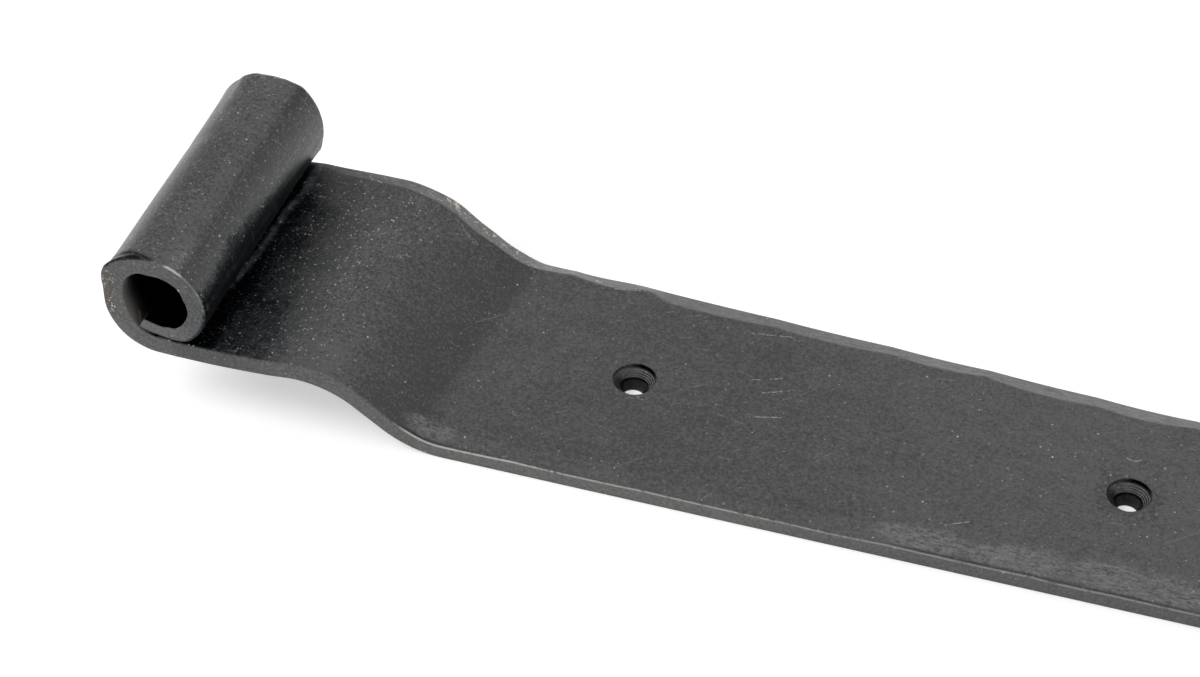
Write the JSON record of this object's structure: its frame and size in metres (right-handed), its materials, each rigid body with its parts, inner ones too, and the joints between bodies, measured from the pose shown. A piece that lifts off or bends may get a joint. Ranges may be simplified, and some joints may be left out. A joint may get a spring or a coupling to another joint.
{
  "type": "cranked hinge band",
  "caption": "Forged strap of a hook and band hinge: a tapered strip with hammered edges, cranked at its wide end and rolled into an eye that drops over a hook's pin",
  "frame": {"origin": "The middle of the eye's bore, on its axis and halfway along it.", "axes": "X runs along the band from the eye to the tip, Y lies along the eye's bore, and Z points away from the door, out of the side that the screws go in from."},
  "size_m": [0.457, 0.0508, 0.0313],
  "materials": {
    "black_steel": "satin black wax on hammered mild steel"
  },
  "bodies": {
    "root": {"band": "black_steel"}
  },
  "joints": []
}
